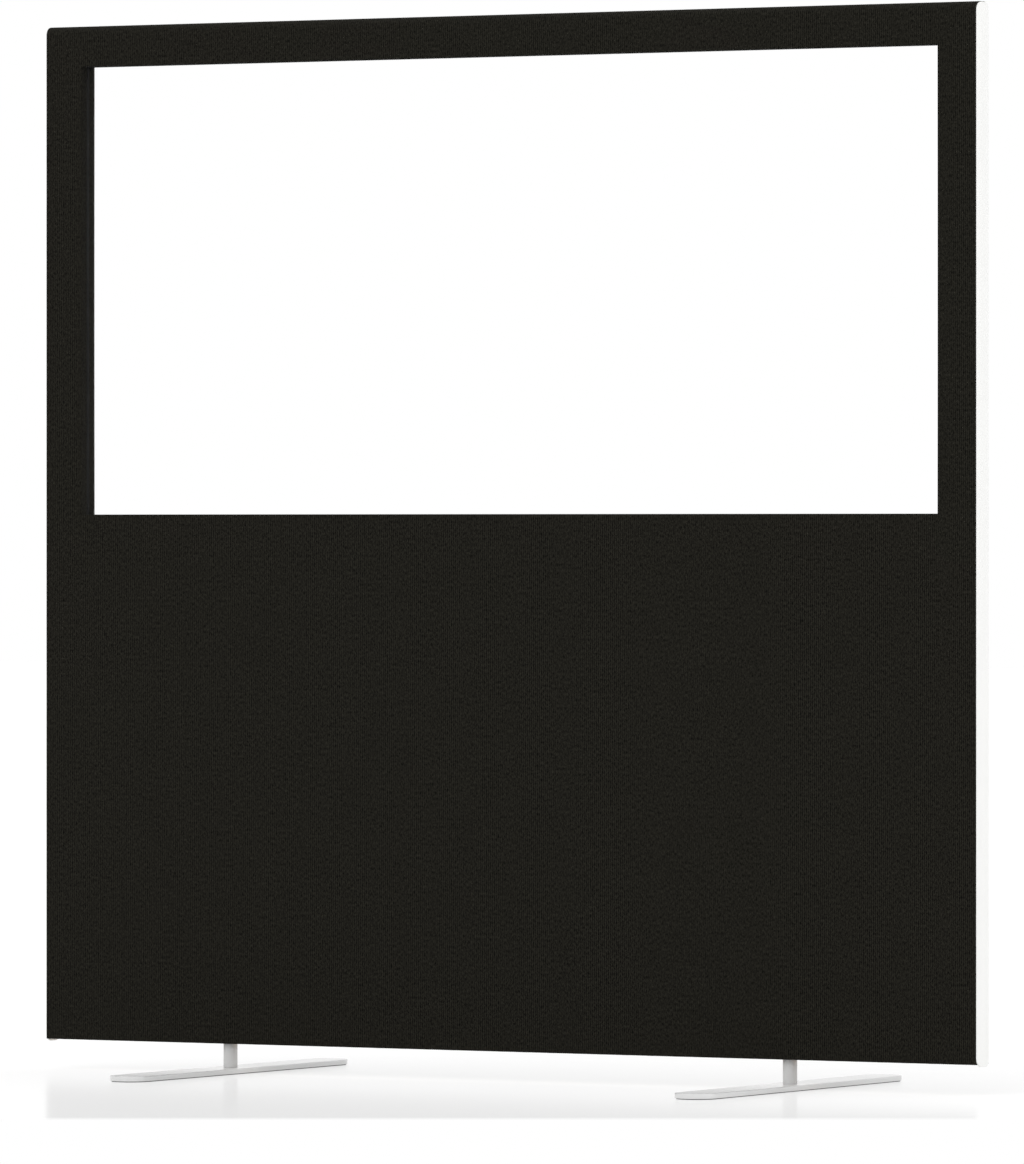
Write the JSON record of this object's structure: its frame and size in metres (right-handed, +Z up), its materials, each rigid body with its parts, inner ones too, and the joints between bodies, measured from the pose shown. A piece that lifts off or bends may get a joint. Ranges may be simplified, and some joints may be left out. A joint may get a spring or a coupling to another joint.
{
  "type": "floor screen",
  "caption": "Fabric-covered floor screen with a rounded top, a wide clear window over a solid lower half, pale end trims and flat plate feet on short round posts.",
  "frame": {"origin": "on the floor, at the middle of the screen's width and depth", "axes": "+X along the screen's width to the right as seen from the front, +Y back through its thickness, +Z up"},
  "size_m": [1.506, 0.5898, 1.492],
  "materials": {
    "cover_fabric": "finely ribbed upholstery cloth, matt, near black with a warm cast",
    "timber": "planed softwood, hidden",
    "absorber": "bonded polyester fibre batt, hidden",
    "clear_acrylic": "clear polished sheet",
    "gasket_rubber": "matt black",
    "trim_enamel": "near-white satin powder coat",
    "foot_enamel": "pale grey powder coat with a soft gloss",
    "pad_rubber": "matt dark grey",
    "zinc_steel": "zinc plated"
  },
  "bodies": {
    "root": {"top_rail": "timber", "bottom_rail": "timber", "window_rail": "timber", "left_stile": "timber", "right_stile": "timber", "left_upright": "timber", "right_upright": "timber", "frame_tenons": "timber", "left_batt": "absorber", "centre_batt": "absorber", "right_batt": "absorber", "front_cover": "cover_fabric", "back_cover": "cover_fabric", "window_pane": "clear_acrylic", "head_gasket": "gasket_rubber", "sill_gasket": "gasket_rubber", "left_gasket": "gasket_rubber", "right_gasket": "gasket_rubber", "left_end_trim": "trim_enamel", "left_foot_pad": "pad_rubber", "left_foot_plate": "foot_enamel", "left_post": "foot_enamel", "left_foot_screw": "zinc_steel", "left_foot_stud": "zinc_steel", "left_insert": "zinc_steel", "right_end_trim": "trim_enamel", "right_foot_pad": "pad_rubber", "right_foot_plate": "foot_enamel", "right_post": "foot_enamel", "right_foot_screw": "zinc_steel", "right_foot_stud": "zinc_steel", "right_insert": "zinc_steel"}
  },
  "joints": []
}
